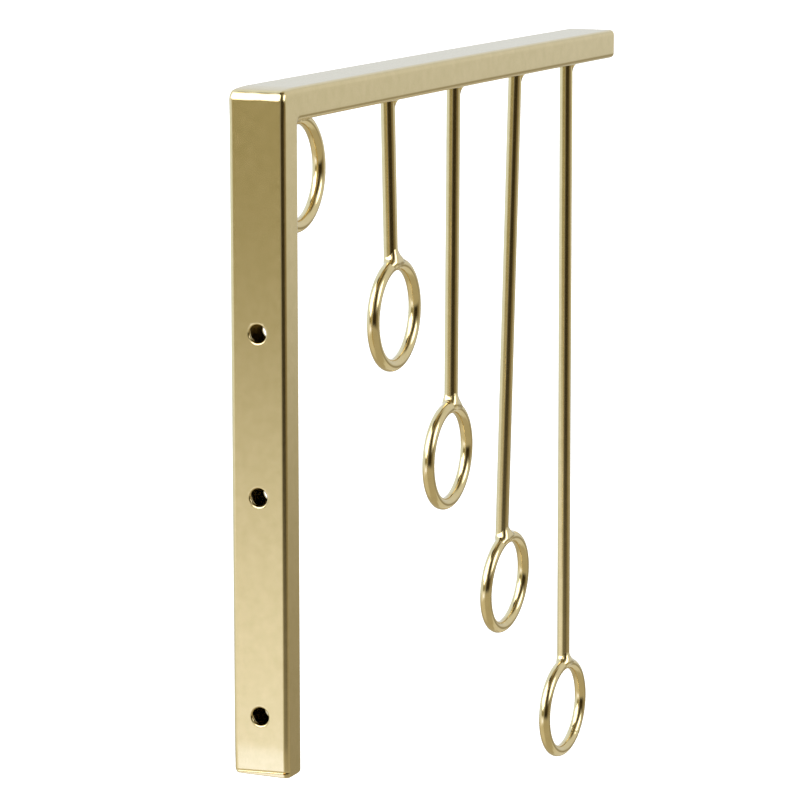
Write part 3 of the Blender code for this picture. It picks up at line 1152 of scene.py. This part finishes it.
def make_floor():
    """A pale floor that glows a little and that the metal doesn't reflect."""
    mesh = bpy.data.meshes.new("floor")
    signs = ((-1, -1), (1, -1), (1, 1), (-1, 1))
    corners = [(x * FLOOR_HALF, y * FLOOR_HALF, FLOOR_Z) for x, y in signs]
    mesh.from_pydata(corners, [], [(0, 1, 2, 3)])
    floor = bpy.data.objects.new("floor", mesh)
    bpy.context.scene.collection.objects.link(floor)
    material = bpy.data.materials.new("pale_floor")
    material.use_nodes = True
    shader = material.node_tree.nodes["Principled BSDF"]
    shader.inputs["Base Color"].default_value = (FLOOR_SHADE, FLOOR_SHADE, FLOOR_SHADE, 1.0)
    shader.inputs["Roughness"].default_value = FLOOR_ROUGHNESS
    shader.inputs["Emission Color"].default_value = (1.0, 1.0, 1.0, 1.0)
    shader.inputs["Emission Strength"].default_value = FLOOR_GLOW
    mesh.materials.append(material)
    floor.visible_glossy = False


def make_camera():
    data = bpy.data.cameras.new("camera")
    data.lens = VIEW_LENS
    data.sensor_width = SENSOR_WIDTH
    data.clip_start, data.clip_end = CLIP_START, CLIP_END
    camera = bpy.data.objects.new("camera", data)
    bpy.context.scene.collection.objects.link(camera)
    back = Vector((math.sin(VIEW_AZIMUTH) * math.cos(VIEW_ELEVATION),
                   -math.cos(VIEW_AZIMUTH) * math.cos(VIEW_ELEVATION),
                   math.sin(VIEW_ELEVATION)))
    camera.location = VIEW_TARGET + back * VIEW_DISTANCE
    camera.rotation_mode = "QUATERNION"
    camera.rotation_quaternion = (-back).to_track_quat("-Z", "Y")
    bpy.context.scene.camera = camera


POST_GRAIN = (0.12 * MM, 0.12 * MM, 2.5 * MM)
ARM_GRAIN = (0.12 * MM, 2.5 * MM, 0.12 * MM)
ROD_GRAIN = (0.10 * MM, 0.10 * MM, 1.5 * MM)
RING_GRAIN = (0.30 * MM, 0.30 * MM, 0.30 * MM)
WELD_GRAIN = (0.40 * MM, 0.40 * MM, 0.40 * MM)
POST_BRASS = brass("satin_brass_post", 0.16, POST_GRAIN, 0.0012 * MM, 0.004 * MM)
ARM_BRASS = brass("satin_brass_arm", 0.16, ARM_GRAIN, 0.0012 * MM, 0.004 * MM)
ROD_BRASS = brass("satin_brass_rod", 0.15, ROD_GRAIN, 0.0008 * MM, 0.003 * MM)
RING_BRASS = brass("satin_brass_ring", 0.12, RING_GRAIN, 0.0006 * MM, 0.003 * MM)
WELD_BRASS = brass("satin_brass_weld", 0.14, WELD_GRAIN, 0.0020 * MM, 0.006 * MM)
# The tube's inside and its bores: bare steel painted near black, as painted shade
PAINTED_SHADE_STEEL = painted_shade_steel("painted_shade_steel_inside")

make_camera()
make_world()
make_floor()
make_tube()
RINGS = {number: read_ring(number) for number in HANGERS}
RINGS[1] = read_ring_1(RINGS[2])
for number, ring in sorted(RINGS.items()):
    make_ring(number, ring, math.radians(RING_SEAMS[number]))
make_ring_1_beads(RINGS[1])
for number in HANGERS:
    rod = read_rod(number)
    make_rod(number, rod)
    make_arm_joint(number, rod)
    make_ring_joint(number, rod, RINGS[number])

bpy.context.scene.view_settings.view_transform = "Standard"
